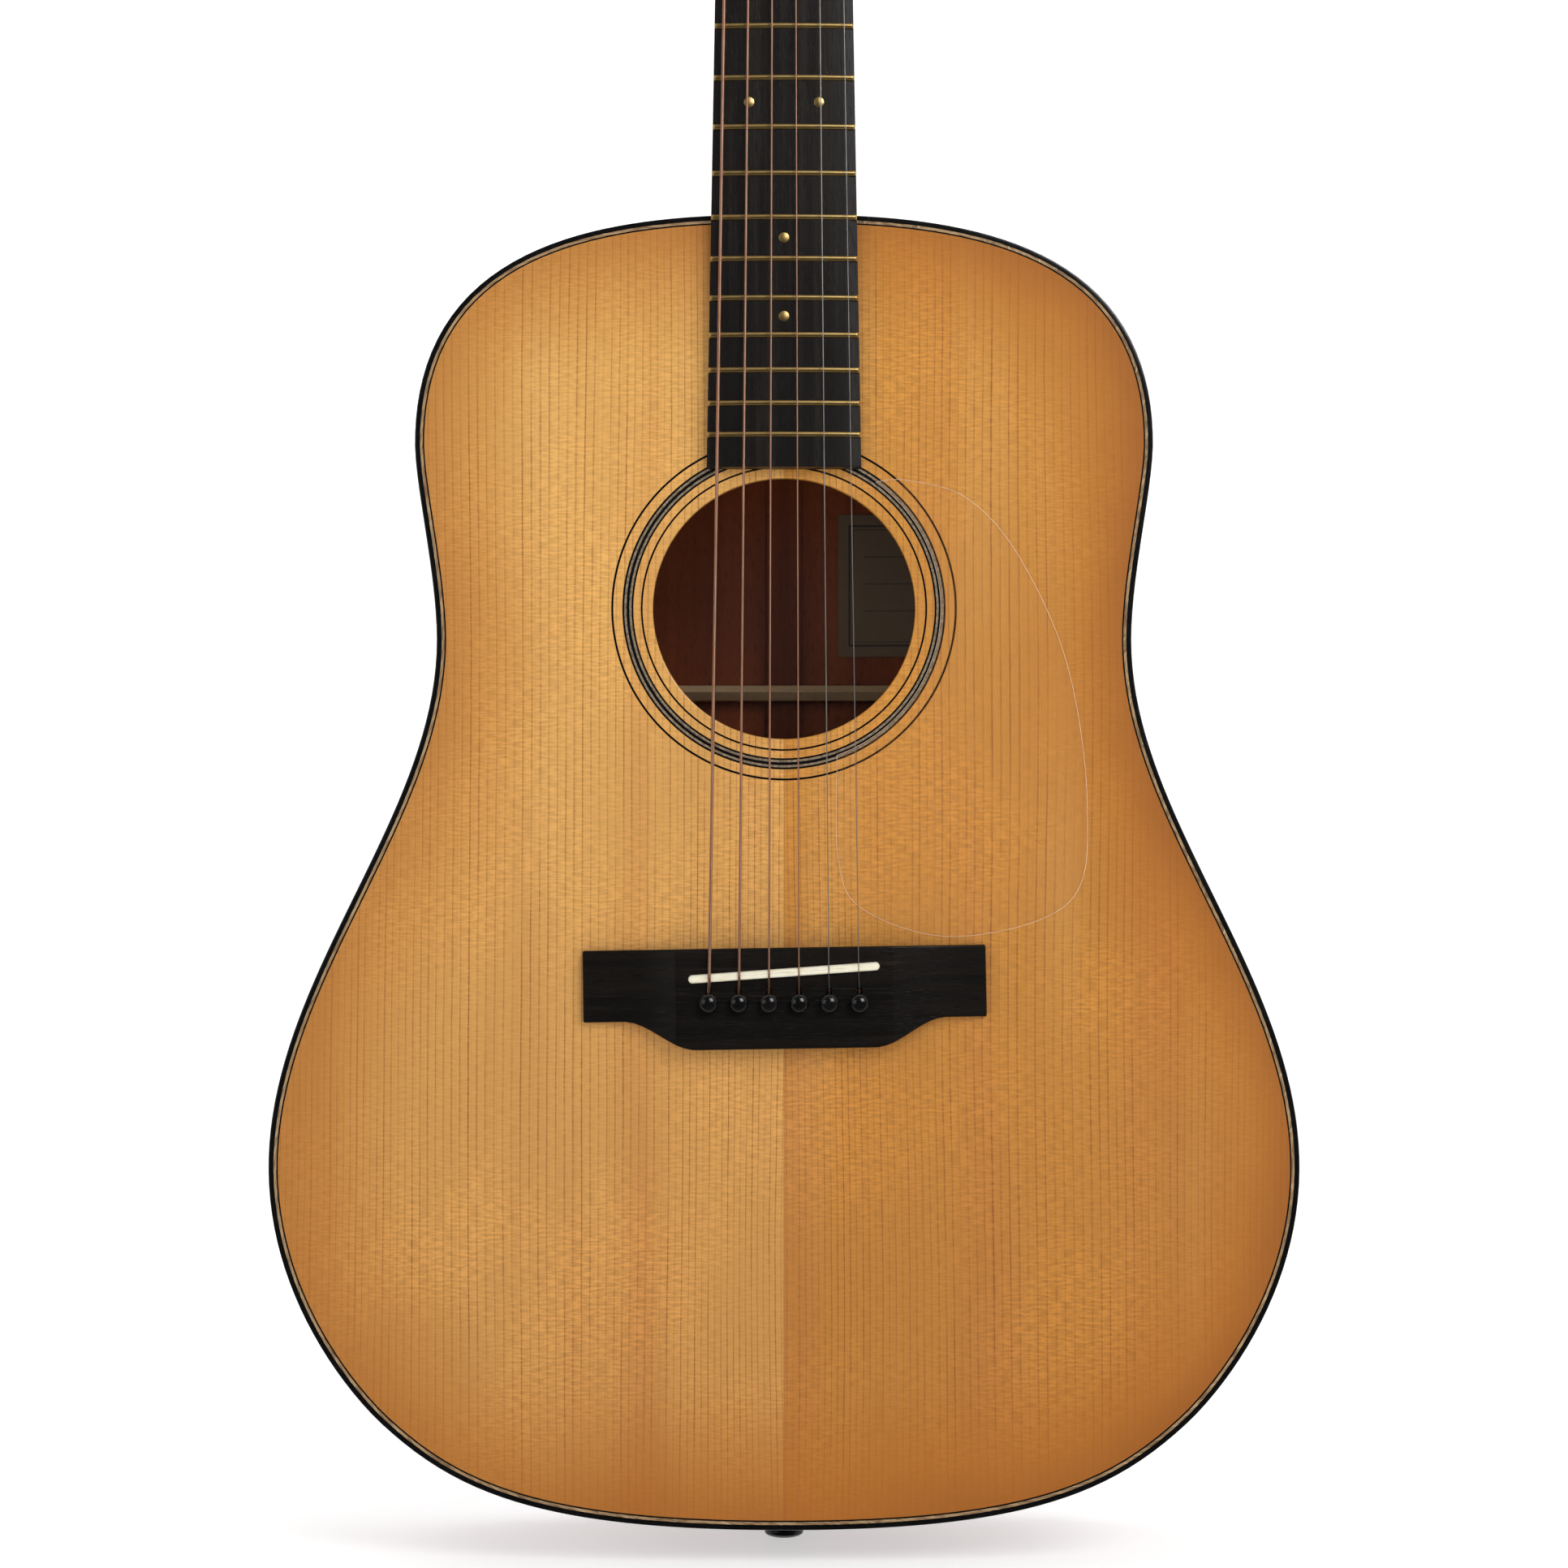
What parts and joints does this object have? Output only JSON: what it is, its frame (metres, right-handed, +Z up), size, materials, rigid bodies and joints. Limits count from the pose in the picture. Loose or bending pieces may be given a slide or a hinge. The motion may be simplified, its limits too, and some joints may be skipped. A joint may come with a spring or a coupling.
{
  "type": "acoustic guitar",
  "caption": "Steel-string flat-top acoustic guitar with round shoulders, a neck that joins the body at the 14th fret, geared tuners, a belly bridge with pull-out pins and a clear pickguard.",
  "frame": {"origin": "centreline at the nut's front edge, in the plane of the soundboard's face and of the fingerboard's underside, where a wall hanger's yoke carries the neck", "axes": "+Z up the neck towards the headstock, -Y out of the soundboard's face, +X towards the treble side"},
  "size_m": [0.391, 0.1358, 1.0545],
  "materials": {
    "soundboard_spruce": "aged spruce under clear gloss lacquer, toned amber at the edges",
    "body_mahogany": "gloss lacquered mahogany",
    "neck_mahogany": "satin lacquered mahogany",
    "lining_wood": "bare mahogany, sanded",
    "brace_spruce": "bare spruce, sanded",
    "black_binding": "black binding, buffed to a gloss",
    "black_plastic": "polished black plastic",
    "ebony": "oiled ebony, satin",
    "bridge_rosewood": "dark rosewood, satin, with a streaky grain",
    "bone": "polished bone",
    "clear_film": "thin clear plastic film, glossy",
    "nickel": "nickel plate, slightly worn",
    "knob_cream": "nickel shaft with a moulded button",
    "steel": "plain bright steel",
    "bronze_winding": "bronze wire wound on a steel core",
    "paper": "matt cream paper"
  },
  "bodies": {
    "root": {"soundboard": "soundboard_spruce", "back_plate": "body_mahogany", "side_bass": "body_mahogany", "side_treble": "body_mahogany", "top_binding": "black_binding", "back_binding": "black_binding", "top_lining": "lining_wood", "back_lining": "lining_wood", "neck_block": "lining_wood", "tail_block": "lining_wood", "end_pin": "black_plastic", "x_brace_1": "brace_spruce", "x_brace_2": "brace_spruce", "upper_transverse_brace": "brace_spruce", "bridge_plate": "bridge_rosewood", "tone_bar_1": "brace_spruce", "tone_bar_2": "brace_spruce", "back_brace_1": "brace_spruce", "back_brace_2": "brace_spruce", "back_brace_3": "brace_spruce", "back_brace_4": "brace_spruce", "back_centre_strip": "brace_spruce", "paper_label": "paper", "bridge": "bridge_rosewood", "saddle": "bone", "pickguard": "clear_film", "neck": "neck_mahogany", "truss_rod": "steel", "heel_cap": "black_plastic", "fingerboard": "ebony", "nut": "bone", "head_plate": "bridge_rosewood", "truss_rod_cover": "black_plastic", "tuner_plate_bass": "nickel", "tuner_plate_treble": "nickel", "string_1": "bronze_winding", "string_2": "bronze_winding", "string_3": "bronze_winding", "string_4": "bronze_winding", "string_5": "steel", "string_6": "steel"},
    "tuner_knob_1": {"tuner_worm_1": "knob_cream"},
    "tuner_post_1": {"tuner_post_1": "nickel"},
    "tuner_knob_2": {"tuner_worm_2": "knob_cream"},
    "tuner_post_2": {"tuner_post_2": "nickel"},
    "tuner_knob_3": {"tuner_worm_3": "knob_cream"},
    "tuner_post_3": {"tuner_post_3": "nickel"},
    "tuner_knob_4": {"tuner_worm_4": "knob_cream"},
    "tuner_post_4": {"tuner_post_4": "nickel"},
    "tuner_knob_5": {"tuner_worm_5": "knob_cream"},
    "tuner_post_5": {"tuner_post_5": "nickel"},
    "tuner_knob_6": {"tuner_worm_6": "knob_cream"},
    "tuner_post_6": {"tuner_post_6": "nickel"},
    "bridge_pin_1": {"bridge_pin_1": "black_plastic"},
    "bridge_pin_2": {"bridge_pin_2": "black_plastic"},
    "bridge_pin_3": {"bridge_pin_3": "black_plastic"},
    "bridge_pin_4": {"bridge_pin_4": "black_plastic"},
    "bridge_pin_5": {"bridge_pin_5": "black_plastic"},
    "bridge_pin_6": {"bridge_pin_6": "black_plastic"},
    "truss_rod_nut": {"truss_rod_nut": "steel"}
  },
  "joints": [
    {"name": "knob_1_turn", "type": "hinge", "parent": "root", "child": "tuner_knob_1", "pos_m": [-0.0255, 0.032, 0.05864], "axis": [1, 0, 0], "continuous": true},
    {"name": "post_1_turn", "type": "hinge", "parent": "root", "child": "tuner_post_1", "pos_m": [-0.0255, 0.01258, 0.05595], "axis": [0, 0.9703, -0.2419], "continuous": true},
    {"name": "knob_2_turn", "type": "hinge", "parent": "root", "child": "tuner_knob_2", "pos_m": [-0.0255, 0.04168, 0.09745], "axis": [1, 0, 0], "continuous": true},
    {"name": "post_2_turn", "type": "hinge", "parent": "root", "child": "tuner_post_2", "pos_m": [-0.0255, 0.02226, 0.09477], "axis": [0, 0.9703, -0.2419], "continuous": true},
    {"name": "knob_3_turn", "type": "hinge", "parent": "root", "child": "tuner_knob_3", "pos_m": [-0.0255, 0.05136, 0.13626], "axis": [1, 0, 0], "continuous": true},
    {"name": "post_3_turn", "type": "hinge", "parent": "root", "child": "tuner_post_3", "pos_m": [-0.0255, 0.03193, 0.13358], "axis": [0, 0.9703, -0.2419], "continuous": true},
    {"name": "knob_4_turn", "type": "hinge", "parent": "root", "child": "tuner_knob_4", "pos_m": [0.0255, 0.05136, 0.13626], "axis": [1, 0, 0], "continuous": true},
    {"name": "post_4_turn", "type": "hinge", "parent": "root", "child": "tuner_post_4", "pos_m": [0.0255, 0.03193, 0.13358], "axis": [0, 0.9703, -0.2419], "continuous": true},
    {"name": "knob_5_turn", "type": "hinge", "parent": "root", "child": "tuner_knob_5", "pos_m": [0.0255, 0.04168, 0.09745], "axis": [1, 0, 0], "continuous": true},
    {"name": "post_5_turn", "type": "hinge", "parent": "root", "child": "tuner_post_5", "pos_m": [0.0255, 0.02226, 0.09477], "axis": [0, 0.9703, -0.2419], "continuous": true},
    {"name": "knob_6_turn", "type": "hinge", "parent": "root", "child": "tuner_knob_6", "pos_m": [0.0255, 0.032, 0.05864], "axis": [1, 0, 0], "continuous": true},
    {"name": "post_6_turn", "type": "hinge", "parent": "root", "child": "tuner_post_6", "pos_m": [0.0255, 0.01258, 0.05595], "axis": [0, 0.9703, -0.2419], "continuous": true},
    {"name": "pin_1_pull", "type": "slide", "parent": "root", "child": "bridge_pin_1", "axis": [0, -1, 0], "range_m": [0, 0.024]},
    {"name": "pin_2_pull", "type": "slide", "parent": "root", "child": "bridge_pin_2", "axis": [0, -1, 0], "range_m": [0, 0.024]},
    {"name": "pin_3_pull", "type": "slide", "parent": "root", "child": "bridge_pin_3", "axis": [0, -1, 0], "range_m": [0, 0.024]},
    {"name": "pin_4_pull", "type": "slide", "parent": "root", "child": "bridge_pin_4", "axis": [0, -1, 0], "range_m": [0, 0.024]},
    {"name": "pin_5_pull", "type": "slide", "parent": "root", "child": "bridge_pin_5", "axis": [0, -1, 0], "range_m": [0, 0.024]},
    {"name": "pin_6_pull", "type": "slide", "parent": "root", "child": "bridge_pin_6", "axis": [0, -1, 0], "range_m": [0, 0.024]},
    {"name": "rod_nut_turn", "type": "hinge", "parent": "root", "child": "truss_rod_nut", "pos_m": [0, 0.0062, 0.016], "axis": [0, 0, 1], "range_deg": [-180, 180]}
  ],
  "couplings": [
    {"joint": "post_1_turn", "follows": "knob_1_turn", "ratio": 0.071429},
    {"joint": "post_2_turn", "follows": "knob_2_turn", "ratio": 0.071429},
    {"joint": "post_3_turn", "follows": "knob_3_turn", "ratio": 0.071429},
    {"joint": "post_4_turn", "follows": "knob_4_turn", "ratio": -0.071429},
    {"joint": "post_5_turn", "follows": "knob_5_turn", "ratio": -0.071429},
    {"joint": "post_6_turn", "follows": "knob_6_turn", "ratio": -0.071429}
  ]
}
